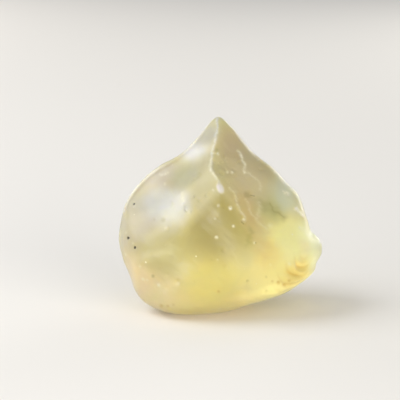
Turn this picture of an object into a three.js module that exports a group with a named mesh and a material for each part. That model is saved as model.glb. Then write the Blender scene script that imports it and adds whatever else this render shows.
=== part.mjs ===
// Libyan desert glass: one lump of pale yellow natural glass, drawn up to a blunt tip and worn by blown sand.
// Millimetres, +Z up. The stone stands on a small flat spot, and its front looks along -Y.
//
// The surface is where one function of a point, depthOutside, is zero. It starts from four outlines, is cut by
// worn faces and hollows, gains a knob, and is waved a little. Each vertex of a sphere is moved out along its
// own ray until it meets that surface, and the result is fitted to the stone's measured size.
import * as THREE from "three";
import { mergeVertices } from "three/addons/utils/BufferGeometryUtils.js";

const point = (x, y, z) => new THREE.Vector3(x, y, z);
const direction = (x, y, z) => point(x, y, z).normalize();

// Size of the finished stone, which the drawn shape is fitted to.
const WIDTH = 44.2;
const DEPTH = 32.1;
const HEIGHT = 41.6;

// Half outlines as [distance from the upright axis, height], from the resting spot up to the tip.
const LEFT_OUTLINE = [
  [-11.6, 0], [-14.9, 0.9], [-17.7, 3.2], [-21, 8.4], [-22.7, 12.6], [-22.6, 17.2], [-21.4, 22.4],
  [-18.7, 26.8], [-14.3, 30.4], [-10.2, 33], [-6.9, 35.8], [-4.7, 38.2], [-2.7, 41.2], [-1.8, 42.6],
];
const RIGHT_OUTLINE = [
  [3.6, 0], [8.8, 1.5], [14, 2.9], [18.1, 5], [20.5, 8], [20.4, 11.4], [20.2, 16], [19.7, 20.4],
  [17.9, 24.6], [14.3, 28.6], [9.2, 32.8], [6.2, 35.8], [3.6, 39.2], [2.2, 41.4], [1.6, 42.6],
];
const FRONT_OUTLINE = [
  [-8.4, 0], [-11.6, 1.2], [-14.4, 4.2], [-16.4, 9], [-17.2, 15], [-17, 21],
  [-15.4, 26.4], [-12.4, 30.8], [-8.6, 35], [-5, 38.8], [-1.9, 41.8], [-1.4, 42.6],
];
const BACK_OUTLINE = [
  [6.4, 0], [10.8, 1.6], [14.2, 5], [16.4, 10], [17, 16], [16.2, 22],
  [13.8, 27.4], [10.4, 32], [6.8, 36.4], [4, 39.2], [2, 41.6], [1.5, 42.6],
];
// A level section is a rounded box: 2 would be an ellipse, more is squarer.
const SECTION_POWER = 2.3;
// The foot leans: its right side sits further back than its left, fading out with height.
const FOOT_LEAN = 0.26;
const FOOT_LEAN_HEIGHT = 9;

// The knee is where the three worn front faces meet, and the crest runs from it up to the apex.
const KNEE = point(-0.1, -13.4, 28.4);
const APEX = point(-0.6, -0.6, 42.6);
const LEFT_FACE_TURN = -28;
const RIGHT_FACE_TURN = 34;
const CREST_SOFTNESS = 0.22;
const UPPER_FACES_SOFTNESS = 1;
// The crest bows to the left by this much round this height.
const CREST_BOW = 1.45;
const CREST_BOW_HEIGHT = 33.2;
const CREST_BOW_SPAN = 3.4;

// Other worn faces, each as a point on it, the way it looks, and how softly it runs into its neighbours.
const CHEEK = { at: point(-9.5, -11.4, 25.5), out: direction(-0.52, -0.66, 0.54), soft: 2 };
const CHIP = { at: point(-0.07, -13.14, 28.25), out: direction(-0.1, -0.86, 0.5), soft: 0.12 };
const TIP_BREAK = { at: point(0.3, 0, 41.75), out: direction(0.1, -0.12, 1), soft: 0.35 };
const TIP_BEVEL = { at: point(-1.2, -0.5, 41.3), out: direction(-0.45, -0.2, 0.88), soft: 0.25 };
// The belly's upper edge is soft on the left and firmer on the right.
const BELLY = { at: KNEE, out: direction(-0.05, -0.98, 0.18), softLeft: 1.5, softRight: 0.6, softTurn: 1 };

// Shallow hollows, each the inside of a large ball: a point on the stone, the way out of it, the ball's
// radius, how deep it bites, and how soft its rim is.
const HOLLOWS = [
  { at: point(-6.8, -6.2, 32.6), out: direction(-0.5, -0.58, 0.64), radius: 11, depth: 1.2, soft: 1.6 },
  { at: point(15, -9.6, 22), out: direction(0.62, -0.62, 0.45), radius: 15, depth: 0.9, soft: 1.8 },
  { at: point(9.5, 9.6, 27.5), out: direction(0.55, 0.6, 0.58), radius: 22, depth: 1.5, soft: 2 },
  { at: point(-9, 12, 22), out: direction(-0.45, 0.86, 0.24), radius: 20, depth: 1.4, soft: 2.2 },
  { at: point(7.5, 14.9, 13), out: direction(0.3, 0.94, -0.15), radius: 26, depth: 1.2, soft: 2.2 },
  { at: point(-15, 12.5, 11), out: direction(-0.66, 0.72, -0.15), radius: 20, depth: 1.3, soft: 2.2 },
];

// The knob on the right is a stubby bar with round ends.
const KNOB = { from: point(18.9, -1.5, 13.5), to: point(13.5, -9.4, 12.6), radius: 3, soft: 0.8 };

// Ripples: rings round a point under the knob, which fade out away from the middle of their patch.
const RIPPLES = {
  centre: point(17.6, -8.6, 13.8),
  patch: point(15.6, -9.6, 8.6),
  reach: 4.6,
  first: 3.4,
  step: 2.1,
  height: 0.22,
  wobble: 0.35,
  wobbleRate: 0.9,
};

// The broad wear is a sum of waves: how fast each turns along x, y and z, its phase, and its height.
const WEAR_WAVES = [
  { turn: point(0.36, 0.17, 0.27), phase: 0.4, height: 0.2 },
  { turn: point(-0.23, 0.37, 0.2), phase: 1.9, height: 0.16 },
  { turn: point(0.14, -0.3, 0.41), phase: 3.1, height: 0.14 },
  { turn: point(0.57, 0.3, -0.41), phase: 5.2, height: 0.06 },
  { turn: point(-0.47, -0.53, 0.5), phase: 2.4, height: 0.05 },
  { turn: point(0.3, -0.7, -0.49), phase: 0.9, height: 0.05 },
];
const WEAR_WANDER = 0.8;
const WEAR_WANDER_TURN = point(-0.17, 0.21, 0);

// The mesh: rays leave the middle, and lean to the front so that the front has the finer triangles.
const MIDDLE = point(-0.4, -0.2, 16.5);
const FARTHEST = 45;
const HALVINGS = 30;
const AROUND = 84;
const DOWN = 50;
const RAY_LEAN = point(0.1, -0.24, 0);

// Smooth greater and smooth lesser of two numbers.
const smoothMax = (a, b, soft) => 0.5 * (a + b + Math.hypot(a - b, soft));
const smoothMin = (a, b, soft) => -smoothMax(-a, -b, soft);

// A curve through an outline's points, as a function from height to distance.
function outlineReader(outline) {
  const curve = new THREE.SplineCurve(outline.map(([reach, height]) => new THREE.Vector2(reach, height)));
  const samples = curve.getPoints(24 * (outline.length - 1));
  return (height) => {
    const above = samples.findIndex((s) => s.y >= height);
    if (above === 0) return samples[0].x;
    if (above < 0) return samples[samples.length - 1].x;
    const [low, high] = [samples[above - 1], samples[above]];
    return THREE.MathUtils.mapLinear(height, low.y, high.y, low.x, high.x);
  };
}

const leftReach = outlineReader(LEFT_OUTLINE);
const rightReach = outlineReader(RIGHT_OUTLINE);
const frontReach = outlineReader(FRONT_OUTLINE);
const backReach = outlineReader(BACK_OUTLINE);

// The body inside the four outlines: below zero inside, above zero outside, about in millimetres.
function outlineBody(p) {
  const [left, right, front, back] = [leftReach(p.z), rightReach(p.z), frontReach(p.z), backReach(p.z)];
  const halfWidth = (right - left) / 2;
  const halfDepth = (back - front) / 2;
  const across = p.x - (right + left) / 2;
  const lean = FOOT_LEAN * Math.exp(-((p.z / FOOT_LEAN_HEIGHT) ** 2)) * across;
  const along = p.y - (back + front) / 2 - lean;
  const section =
    Math.abs(across / halfWidth) ** SECTION_POWER + Math.abs(along / halfDepth) ** SECTION_POWER;
  return (section ** (1 / SECTION_POWER) - 1) * Math.min(halfWidth, halfDepth);
}

const crestLine = APEX.clone().sub(KNEE).normalize();
const crestOut = direction(0, -crestLine.z, crestLine.y);

// The way that a face looks when it is turned round the crest by an angle in degrees.
function turnedRoundCrest(degrees) {
  const turn = THREE.MathUtils.degToRad(degrees);
  const side = crestLine.clone().cross(crestOut);
  return crestOut.clone().multiplyScalar(Math.cos(turn)).addScaledVector(side, Math.sin(turn));
}

const leftFaceOut = turnedRoundCrest(LEFT_FACE_TURN);
const rightFaceOut = turnedRoundCrest(RIGHT_FACE_TURN);

// The two upper front faces, which meet in the bowed crest.
function upperFaces(p) {
  const fromKnee = p.clone().sub(KNEE);
  fromKnee.x += CREST_BOW * Math.exp(-(((p.z - CREST_BOW_HEIGHT) / CREST_BOW_SPAN) ** 2));
  return smoothMax(fromKnee.dot(leftFaceOut), fromKnee.dot(rightFaceOut), CREST_SOFTNESS);
}

const aboveFace = (p, face) => p.clone().sub(face.at).dot(face.out);

// How soft the belly's upper edge is at a point, from its left to its right.
function bellySoftness(p) {
  const rightness = 1 / (1 + Math.exp(BELLY.softTurn - p.x));
  return THREE.MathUtils.lerp(BELLY.softLeft, BELLY.softRight, rightness);
}

function insideHollowBall(p, hollow) {
  const ballCentre = hollow.at.clone().addScaledVector(hollow.out, hollow.radius - hollow.depth);
  return hollow.radius - p.distanceTo(ballCentre);
}

const knobAxis = new THREE.Line3(KNOB.from, KNOB.to);
const outsideKnob = (p) =>
  p.distanceTo(knobAxis.closestPointToPoint(p, true, new THREE.Vector3())) - KNOB.radius;

function wear(p) {
  const wander = WEAR_WANDER * Math.sin(p.dot(WEAR_WANDER_TURN));
  return WEAR_WAVES.reduce((sum, w) => sum + w.height * Math.sin(p.dot(w.turn) + w.phase + wander), 0);
}

function ripples(p) {
  const nearness = Math.exp(-((p.distanceTo(RIPPLES.patch) / RIPPLES.reach) ** 4));
  const wobble = RIPPLES.wobble * Math.sin(RIPPLES.wobbleRate * p.x);
  const rings = (p.distanceTo(RIPPLES.centre) - RIPPLES.first + wobble) / RIPPLES.step;
  return RIPPLES.height * nearness * Math.cos(2 * Math.PI * rings);
}

// Below zero inside the stone and above zero outside it.
function depthOutside(p) {
  let depth = outlineBody(p);
  depth = smoothMax(depth, upperFaces(p), UPPER_FACES_SOFTNESS);
  depth = smoothMax(depth, aboveFace(p, CHEEK), CHEEK.soft);
  depth = smoothMax(depth, aboveFace(p, BELLY), bellySoftness(p));
  depth = smoothMax(depth, aboveFace(p, CHIP), CHIP.soft);
  for (const hollow of HOLLOWS) depth = smoothMax(depth, insideHollowBall(p, hollow), hollow.soft);
  depth = smoothMin(depth, outsideKnob(p), KNOB.soft);
  depth += wear(p);
  depth = smoothMax(depth, aboveFace(p, TIP_BREAK), TIP_BREAK.soft);
  depth = smoothMax(depth, aboveFace(p, TIP_BEVEL), TIP_BEVEL.soft);
  return depth + ripples(p);
}

// Where a ray from the middle leaves the stone. The flat resting spot stops every ray at height zero.
function surfacePoint(ray) {
  let [inner, outer] = [0, FARTHEST];
  for (let i = 0; i < HALVINGS; i++) {
    const half = (inner + outer) / 2;
    if (depthOutside(MIDDLE.clone().addScaledVector(ray, half)) < 0) inner = half;
    else outer = half;
  }
  const toFloor = ray.z < 0 ? MIDDLE.z / -ray.z : Infinity;
  const found = MIDDLE.clone().addScaledVector(ray, Math.min(inner, toFloor));
  if (toFloor <= inner) found.z = 0;
  return found;
}

function stoneGeometry() {
  const sphere = new THREE.SphereGeometry(1, AROUND, DOWN).rotateX(Math.PI / 2);
  sphere.deleteAttribute("uv");
  sphere.deleteAttribute("normal");
  const geometry = mergeVertices(sphere);
  const position = geometry.attributes.position;
  for (let i = 0; i < position.count; i++) {
    const ray = new THREE.Vector3().fromBufferAttribute(position, i).add(RAY_LEAN).normalize();
    const found = surfacePoint(ray);
    position.setXYZ(i, found.x, found.y, found.z);
  }
  fitToSize(geometry);
  geometry.computeVertexNormals();
  return geometry;
}

// Fits the drawn shape to the stone's size, with the bottom centre of its box at the origin.
function fitToSize(geometry) {
  geometry.computeBoundingBox();
  const size = geometry.boundingBox.getSize(new THREE.Vector3());
  const centre = geometry.boundingBox.getCenter(new THREE.Vector3());
  geometry.translate(-centre.x, -centre.y, 0);
  geometry.scale(WIDTH / size.x, DEPTH / size.y, HEIGHT / size.z);
}

const glass = new THREE.MeshStandardMaterial({ color: 0xe0d79a, roughness: 0.38, metalness: 0 });

const stone = new THREE.Mesh(stoneGeometry(), glass);
stone.name = "desert_glass";

const part = new THREE.Group();
part.add(stone);
export default part;
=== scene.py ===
"""Looks of a lump of libyan desert glass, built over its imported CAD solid.

The stone is one piece of milky, pale yellow natural glass, drawn up to a blunt tip and worn by blown sand.
Its surface is worked out again here from the same outlines, worn faces and hollows as the CAD solid, on a
much finer grid, and gains the small relief that the solid leaves out: pits, opened bubbles, healed cracks
and a sand-worn unevenness. The material is procedural, on Object coordinates and on the piece's own
attributes.

The shape is drawn in millimetres, as the CAD solid is, and fitted to that solid's box in metres.
"""

from __future__ import annotations

import logging
import math
from dataclasses import dataclass, field
from enum import Enum
from typing import Callable, ClassVar, NamedTuple, Sequence

import bpy
import numpy as np
from mathutils import Matrix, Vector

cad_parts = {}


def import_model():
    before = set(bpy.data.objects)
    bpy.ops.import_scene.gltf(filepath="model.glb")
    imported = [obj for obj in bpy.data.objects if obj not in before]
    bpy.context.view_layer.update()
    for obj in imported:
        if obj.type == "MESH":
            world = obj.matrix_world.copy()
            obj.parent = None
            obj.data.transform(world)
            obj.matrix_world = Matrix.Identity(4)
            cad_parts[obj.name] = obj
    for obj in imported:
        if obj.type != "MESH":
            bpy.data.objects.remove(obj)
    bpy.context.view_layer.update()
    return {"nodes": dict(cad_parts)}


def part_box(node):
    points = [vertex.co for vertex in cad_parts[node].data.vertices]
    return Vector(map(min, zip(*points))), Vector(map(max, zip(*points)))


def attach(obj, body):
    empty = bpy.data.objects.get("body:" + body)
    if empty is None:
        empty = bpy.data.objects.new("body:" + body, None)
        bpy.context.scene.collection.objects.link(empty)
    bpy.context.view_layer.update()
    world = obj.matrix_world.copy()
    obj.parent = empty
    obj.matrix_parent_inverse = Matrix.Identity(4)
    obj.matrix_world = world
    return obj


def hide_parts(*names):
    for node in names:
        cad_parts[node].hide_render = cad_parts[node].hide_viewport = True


LOG = logging.getLogger("desert_glass")

Vector3 = tuple[float, float, float]
Colour = tuple[float, float, float]
ScreenTone = tuple[int, int, int]
Polyline = Sequence[tuple[float, float]]
Socket = bpy.types.NodeSocket

NODE = "desert_glass"
BODY = "root"
MM = 0.001

# The mesh attribute that is one on the belly, below the ridge that runs down from the knee.
BELLY = "belly"

# The angle above level, in degrees, from which the stone is seen. It also places the marks on its front.
SEEN_FROM_ABOVE = 12.0

# The power of a small round mark's bell, which gives it a firmer edge than a plain bell's.
MARK_POWER = 3.0

# Less than any length on the stone: it keeps a division by a length from going wrong.
TINY = 1e-12

# Where the Mix node has its sockets for colours, whose names repeat.
MIX_WEIGHT, MIX_FIRST, MIX_SECOND, MIX_RESULT = 0, 6, 7, 2


def unit(x: float, y: float, z: float) -> np.ndarray:
    """The direction of a vector, as an array of length one."""
    vector = np.array([x, y, z], float)
    return vector / np.linalg.norm(vector)


def smooth_max(a: np.ndarray, b: np.ndarray, soft: np.ndarray | float) -> np.ndarray:
    """The greater of two values, rounded off where they are nearly equal.

    Formula: half of a + b + the square root of (a - b) squared plus soft squared.

    Args:
        a: First values.
        b: Second values.
        soft: How wide the rounding is, in the values' own unit.

    Returns:
        An array of the smooth maximum.
    """
    return 0.5 * (a + b + np.hypot(a - b, soft))


def smooth_min(a: np.ndarray, b: np.ndarray, soft: float) -> np.ndarray:
    """The lesser of two values, rounded off in the same way as smooth_max."""
    return -smooth_max(-a, -b, soft)


def bell(distance: np.ndarray, reach: float, power: float = 2.0) -> np.ndarray:
    """One at no distance, fading to nothing past reach: e to the minus (distance / reach) to a power.

    Args:
        distance: Distances from the middle.
        reach: The distance at which the value is 1 / e.
        power: 2 for a bell, more for a flatter top with a firmer edge.

    Returns:
        An array of weights from 0 to 1.
    """
    return np.exp(-((np.abs(distance) / reach) ** power))


@dataclass(frozen=True)
class Outline:
    """Half an outline of the stone: how far the surface reaches from the axis at each height."""

    points: Polyline
    steps: int = 24

    def curve(self) -> np.ndarray:
        """Points on the smooth curve through the outline.

        Formula: on each stretch b to c between neighbours a and d, the cubic that leaves b along (c - a) / 2
        and reaches c along (d - b) / 2, with the end points doubled.

        Returns:
            An array of (reach, height) rows.
        """
        given = np.asarray(self.points, float)
        padded = np.vstack([given[:1], given, given[-1:]])
        t = np.linspace(0, 1, self.steps, endpoint=False)[None, :, None]
        stretches = len(padded) - 3
        a, b, c, d = (padded[i : stretches + i][:, None, :] for i in range(4))
        leaving, reaching = (c - a) / 2, (d - b) / 2
        cubic = (2 * b - 2 * c + leaving + reaching) * t**3
        square = (-3 * b + 3 * c - 2 * leaving - reaching) * t**2
        return np.vstack([(cubic + square + leaving * t + b).reshape(-1, 2), given[-1:]])

    def reader(self) -> Callable[[np.ndarray], np.ndarray]:
        """A function from height to reach, along the smooth curve."""
        curve = self.curve()
        return lambda height: np.interp(height, curve[:, 1], curve[:, 0])


@dataclass(frozen=True)
class WornFace:
    """A nearly flat worn face: a point on it, the way it looks, and how softly it meets its neighbours."""

    at: Vector3
    out: Vector3
    soft: float

    def above(self, points: np.ndarray) -> np.ndarray:
        """How far points stand above the face, in millimetres."""
        return (points - np.array(self.at)) @ unit(*self.out)


@dataclass(frozen=True)
class Hollow:
    """A shallow hollow, the inside of a large ball that bites into the stone."""

    at: Vector3
    out: Vector3
    radius: float
    depth: float
    soft: float

    def inside_ball(self, points: np.ndarray) -> np.ndarray:
        """How deep points are inside the ball, in millimetres."""
        centre = np.array(self.at) + unit(*self.out) * (self.radius - self.depth)
        return self.radius - np.linalg.norm(points - centre, axis=-1)


@dataclass(frozen=True)
class Knob:
    """The knob on the right: a stubby bar with round ends, run into the body."""

    start: Vector3 = (18.9, -1.5, 13.5)
    end: Vector3 = (13.5, -9.4, 12.6)
    radius: float = 3.0
    soft: float = 0.8

    def outside(self, points: np.ndarray) -> np.ndarray:
        """How far points are outside the bar.

        Formula: the distance to the bar's middle line, less its radius.

        Args:
            points: Points, in millimetres.

        Returns:
            An array of distances, below zero inside.
        """
        start = np.array(self.start)
        line = np.array(self.end) - start
        along = np.clip((points - start) @ line / (line @ line), 0, 1)
        return np.linalg.norm(points - start - along[..., None] * line, axis=-1) - self.radius


@dataclass(frozen=True)
class Ripples:
    """Rings round a point under the knob, which fade out away from the middle of their patch."""

    centre: Vector3 = (17.6, -8.6, 13.8)
    patch: Vector3 = (15.6, -9.6, 8.6)
    reach: float = 4.6
    patch_power: float = 4.0
    first: float = 3.4
    step: float = 2.1
    height: float = 0.22
    wobble: float = 0.35
    wobble_rate: float = 0.9
    groove_power: float = 6.0

    def nearness(self, points: np.ndarray) -> np.ndarray:
        """One in the middle of the patch, and nothing outside it."""
        return bell(np.linalg.norm(points - np.array(self.patch), axis=-1), self.reach, self.patch_power)

    def turn(self, points: np.ndarray) -> np.ndarray:
        """The rings' phase.

        Formula: the distance from their centre less the first ring's, wobbling along x, in turns of a step.

        Args:
            points: Points, in millimetres.

        Returns:
            An array of angles, in radians.
        """
        away = np.linalg.norm(points - np.array(self.centre), axis=-1)
        wobble = self.wobble * np.sin(self.wobble_rate * points[..., 0])
        return 2 * np.pi * (away - self.first + wobble) / self.step

    def relief(self, points: np.ndarray) -> np.ndarray:
        """Depth of the ripples: a cosine of their turn, inside their patch."""
        return self.height * self.nearness(points) * np.cos(self.turn(points))

    def grooves(self, points: np.ndarray) -> np.ndarray:
        """One at the bottom of each groove, and nothing beside it.

        Formula: the turn's cosine, brought to 0 to 1, to a power that makes the grooves thin.
        """
        return self.nearness(points) * (0.5 + 0.5 * np.cos(self.turn(points))) ** self.groove_power


@dataclass(frozen=True)
class Wave:
    """One wave of the wear: its turn along x, y and z, its phase, its height, and how far it sways."""

    turn: Vector3
    phase: float = 0.0
    height: float = 1.0
    sway: float = 1.0

    def at(self, p: np.ndarray, shift: np.ndarray | float = 0.0) -> np.ndarray:
        """Its height at points: a sine of their turn, moved on by its phase and its sway times a shift."""
        return self.height * np.sin(p @ np.array(self.turn) + self.phase + self.sway * shift)


@dataclass
class StoneForm:
    """The stone's large form, in millimetres: the same outlines, faces and hollows as the CAD solid."""

    left: Outline = Outline((
        (-11.6, 0), (-14.9, 0.9), (-17.7, 3.2), (-21, 8.4), (-22.7, 12.6), (-22.6, 17.2), (-21.4, 22.4),
        (-18.7, 26.8), (-14.3, 30.4), (-10.2, 33), (-6.9, 35.8), (-4.7, 38.2), (-2.7, 41.2), (-1.8, 42.6),
    ))
    right: Outline = Outline((
        (3.6, 0), (8.8, 1.5), (14, 2.9), (18.1, 5), (20.5, 8), (20.4, 11.4), (20.2, 16), (19.7, 20.4),
        (17.9, 24.6), (14.3, 28.6), (9.2, 32.8), (6.2, 35.8), (3.6, 39.2), (2.2, 41.4), (1.6, 42.6),
    ))
    front: Outline = Outline((
        (-8.4, 0), (-11.6, 1.2), (-14.4, 4.2), (-16.4, 9), (-17.2, 15), (-17, 21),
        (-15.4, 26.4), (-12.4, 30.8), (-8.6, 35), (-5, 38.8), (-1.9, 41.8), (-1.4, 42.6),
    ))
    back: Outline = Outline((
        (6.4, 0), (10.8, 1.6), (14.2, 5), (16.4, 10), (17, 16), (16.2, 22),
        (13.8, 27.4), (10.4, 32), (6.8, 36.4), (4, 39.2), (2, 41.6), (1.5, 42.6),
    ))
    section_power: float = 2.3
    foot_lean: float = 0.26
    foot_lean_height: float = 9.0
    knee: Vector3 = (-0.1, -13.4, 28.4)
    apex: Vector3 = (-0.6, -0.6, 42.6)
    left_face_turn: float = -28.0
    right_face_turn: float = 34.0
    crest_softness: float = 0.22
    upper_faces_softness: float = 1.0
    crest_bow: float = 1.45
    crest_bow_height: float = 33.2
    crest_bow_span: float = 3.4
    cheek: WornFace = WornFace((-9.5, -11.4, 25.5), (-0.52, -0.66, 0.54), 2.0)
    chip: WornFace = WornFace((-0.07, -13.14, 28.25), (-0.1, -0.86, 0.5), 0.12)
    tip_break: WornFace = WornFace((0.3, 0, 41.75), (0.1, -0.12, 1), 0.35)
    tip_bevel: WornFace = WornFace((-1.2, -0.5, 41.3), (-0.45, -0.2, 0.88), 0.25)
    belly_out: Vector3 = (-0.05, -0.98, 0.18)
    belly_soft_left: float = 1.5
    belly_soft_right: float = 0.6
    belly_soft_turn: float = 1.0
    belly_edge: float = 1.6
    hollows: tuple[Hollow, ...] = (
        Hollow((-6.8, -6.2, 32.6), (-0.5, -0.58, 0.64), 11, 1.2, 1.6),
        Hollow((15, -9.6, 22), (0.62, -0.62, 0.45), 15, 0.9, 1.8),
        Hollow((9.5, 9.6, 27.5), (0.55, 0.6, 0.58), 22, 1.5, 2),
        Hollow((-9, 12, 22), (-0.45, 0.86, 0.24), 20, 1.4, 2.2),
        Hollow((7.5, 14.9, 13), (0.3, 0.94, -0.15), 26, 1.2, 2.2),
        Hollow((-15, 12.5, 11), (-0.66, 0.72, -0.15), 20, 1.3, 2.2),
    )
    knob: Knob = Knob()
    ripples: Ripples = Ripples()
    wear_waves: tuple[Wave, ...] = (
        Wave((0.36, 0.17, 0.27), 0.4, 0.2),
        Wave((-0.23, 0.37, 0.2), 1.9, 0.16),
        Wave((0.14, -0.3, 0.41), 3.1, 0.14),
        Wave((0.57, 0.3, -0.41), 5.2, 0.06),
        Wave((-0.47, -0.53, 0.5), 2.4, 0.05),
        Wave((0.3, -0.7, -0.49), 0.9, 0.05),
    )
    wear_wander: float = 0.8
    wear_wander_turn: Vector3 = (-0.17, 0.21, 0)
    middle: Vector3 = (-0.4, -0.2, 16.5)
    farthest: float = 45.0
    halvings: int = 26
    readers: tuple[Callable[[np.ndarray], np.ndarray], ...] = field(init=False)

    def __post_init__(self) -> None:
        """Prepares the four outline curves once."""
        self.readers = tuple(o.reader() for o in (self.left, self.right, self.front, self.back))

    def outline_body(self, p: np.ndarray) -> np.ndarray:
        """The body inside the four outlines: below zero inside, and about in millimetres.

        Formula: at each height, |x / half width| and |y / half depth| to a power, summed, and the root of
        that less one, times the smaller half. The foot's middle line leans back towards the right.

        Args:
            p: Points, in millimetres.

        Returns:
            An array of signed depths.
        """
        height = p[..., 2]
        left, right, front, back = (read(height) for read in self.readers)
        half_width, half_depth = (right - left) / 2, (back - front) / 2
        across = p[..., 0] - (right + left) / 2
        lean = self.foot_lean * bell(height, self.foot_lean_height) * across
        along = p[..., 1] - (back + front) / 2 - lean
        n = self.section_power
        section = (np.abs(across / half_width) ** n + np.abs(along / half_depth) ** n) ** (1 / n)
        return (section - 1) * np.minimum(half_width, half_depth)

    def upper_faces(self, p: np.ndarray) -> np.ndarray:
        """The two upper front faces, which meet in the bowed crest.

        Formula: the smooth maximum of the heights above two planes through the knee and the apex, turned
        apart round the line that joins these, after x is shifted by a bell of height that bows the crest.

        Args:
            p: Points, in millimetres.

        Returns:
            An array of heights above the nearer face.
        """
        knee = np.array(self.knee)
        line = unit(*(np.array(self.apex) - knee))
        out = unit(0, -line[2], line[1])
        side = np.cross(line, out)
        from_knee = p - knee
        bow = self.crest_bow * bell(p[..., 2] - self.crest_bow_height, self.crest_bow_span)
        from_knee = np.stack([from_knee[..., 0] + bow, from_knee[..., 1], from_knee[..., 2]], -1)
        left, right = (
            from_knee @ (math.cos(turn) * out + math.sin(turn) * side)
            for turn in map(math.radians, (self.left_face_turn, self.right_face_turn))
        )
        return smooth_max(left, right, self.crest_softness)

    def wear(self, p: np.ndarray) -> np.ndarray:
        """The broad wear: a sum of sine waves, whose phases wander together."""
        wander = self.wear_wander * np.sin(p @ np.array(self.wear_wander_turn))
        return sum(wave.at(p, wander) for wave in self.wear_waves)

    def belly_weight(self, p: np.ndarray) -> np.ndarray:
        """One on the belly, and nothing above the ridge where it meets the upper faces and the cheek.

        Formula: the height above the belly's plane less that above the nearest of the others, over the width
        of the change, plus a half, held from 0 to 1.

        Args:
            p: Points on the surface, in millimetres.

        Returns:
            An array of weights.
        """
        belly = (p - np.array(self.knee)) @ unit(*self.belly_out)
        others = np.maximum(self.upper_faces(p), self.cheek.above(p))
        return np.clip(0.5 + (belly - others) / self.belly_edge, 0, 1)

    def depth_outside(self, p: np.ndarray) -> np.ndarray:
        """Below zero inside the stone and above zero outside it.

        Formula: the outline body, cut by the worn faces and hollow balls with smooth maxima, joined by the
        knob with a smooth minimum, plus the wear and the ripples.

        Args:
            p: Points, in millimetres.

        Returns:
            An array of signed depths, about in millimetres.
        """
        depth = smooth_max(self.outline_body(p), self.upper_faces(p), self.upper_faces_softness)
        depth = smooth_max(depth, self.cheek.above(p), self.cheek.soft)
        rightness = 1 / (1 + np.exp(self.belly_soft_turn - p[..., 0]))
        belly_soft = self.belly_soft_left + (self.belly_soft_right - self.belly_soft_left) * rightness
        depth = smooth_max(depth, (p - np.array(self.knee)) @ unit(*self.belly_out), belly_soft)
        depth = smooth_max(depth, self.chip.above(p), self.chip.soft)
        for hollow in self.hollows:
            depth = smooth_max(depth, hollow.inside_ball(p), hollow.soft)
        depth = smooth_min(depth, self.knob.outside(p), self.knob.soft) + self.wear(p)
        for face in (self.tip_break, self.tip_bevel):
            depth = smooth_max(depth, face.above(p), face.soft)
        return depth + self.ripples.relief(p)

    def surface(self, rays: np.ndarray) -> np.ndarray:
        """Where rays from the middle leave the stone.

        Formula: each ray's span from the middle to the farthest reach is halved again and again round the
        place where depth_outside changes sign. The level resting spot stops a ray at height zero.

        Args:
            rays: Unit vectors, one for each point of the grid.

        Returns:
            The points on the surface, in millimetres.
        """
        middle = np.array(self.middle)
        inner = np.zeros(rays.shape[:-1])
        outer = np.full(rays.shape[:-1], self.farthest)
        for _ in range(self.halvings):
            half = (inner + outer) / 2
            inside = self.depth_outside(middle + half[..., None] * rays) < 0
            inner = np.where(inside, half, inner)
            outer = np.where(inside, outer, half)
        down = np.maximum(-rays[..., 2], TINY)
        to_floor = np.where(rays[..., 2] < 0, middle[2] / down, np.inf)
        points = middle + np.minimum(inner, to_floor)[..., None] * rays
        points[..., 2] = np.where(to_floor <= inner, 0.0, points[..., 2])
        return points


def seen(points: np.ndarray) -> np.ndarray:
    """Points as they are seen from the front, from a little above.

    Formula: across is x, and up is z cos(angle) + y sin(angle), counted from the lowest point that is seen.

    Args:
        points: Points on the stone, in millimetres.

    Returns:
        An array of (across, up) rows, in millimetres.
    """
    angle = math.radians(SEEN_FROM_ABOVE)
    foot = StoneForm.front.points[0][0] * math.sin(angle)
    up = points[..., 2] * math.cos(angle) + points[..., 1] * math.sin(angle) - foot
    return np.stack([points[..., 0], up], -1)


class StainAndHighlight(Enum):
    """What a mark does to the glass's colour: a stain, or painted light. The chip's mark is a painted
    reflection on its facet, and the pale mark also paints the highlight along the crest and the glints on
    the right flank and on opened bubbles. Each value is the name of an attribute of the mesh.
    """

    PALE = "pale"
    CHIP_REFLECTION = "chip_reflection"
    GRIT = "grit"
    TAN = "tan"
    GREEN = "green"
    AMBER = "amber"


@dataclass(frozen=True)
class Trail:
    """A line on the front, as it is seen: a crest's thin edge with its painted highlight, a healed crack, a
    painted glint or a band of colour.
    """

    name: str
    path: Polyline
    width: float
    height: float
    stain: StainAndHighlight
    strength: float
    wander: float = 0.12
    slow_turn: ClassVar[float] = 2.3
    slow_phase: ClassVar[float] = 0.6
    quick_turn: ClassVar[float] = 5.9
    quick_share: ClassVar[float] = 0.5
    across_turn: ClassVar[float] = 2.9

    def nearness(self, across_up: np.ndarray) -> np.ndarray:
        """How close points are to the line: one on it, and a bell of the distance beside it.

        Formula: the distance to the nearest of the path's straight stretches, after both coordinates are
        shifted by small sines of each other, so that the line isn't ruled.

        Args:
            across_up: Points as seen, in millimetres.

        Returns:
            An array of weights from 0 to 1.
        """
        across, up = across_up[..., 0], across_up[..., 1]
        slow = np.sin(self.slow_turn * up + self.slow_phase)
        shift = self.wander * (slow + self.quick_share * np.sin(self.quick_turn * up))
        place = np.stack([across + shift, up + self.wander * np.sin(self.across_turn * across)], -1)
        nearest = np.full(across.shape, np.inf)
        knots = np.asarray(self.path, float)
        for start, end in zip(knots[:-1], knots[1:]):
            line = end - start
            along = np.clip((place - start) @ line / (line @ line), 0, 1)
            away = np.linalg.norm(place - start - along[..., None] * line, axis=-1)
            nearest = np.minimum(nearest, away)
        return bell(nearest, self.width)


@dataclass(frozen=True)
class Spot:
    """A small round mark on the front: where it is seen, its radius, and how strong its stain is."""

    across: float
    up: float
    radius: float
    strength: float

    def nearness(self, across_up: np.ndarray) -> np.ndarray:
        """One on the spot and nothing outside it."""
        away = np.hypot(across_up[..., 0] - self.across, across_up[..., 1] - self.up)
        return bell(away, self.radius, MARK_POWER)


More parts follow.
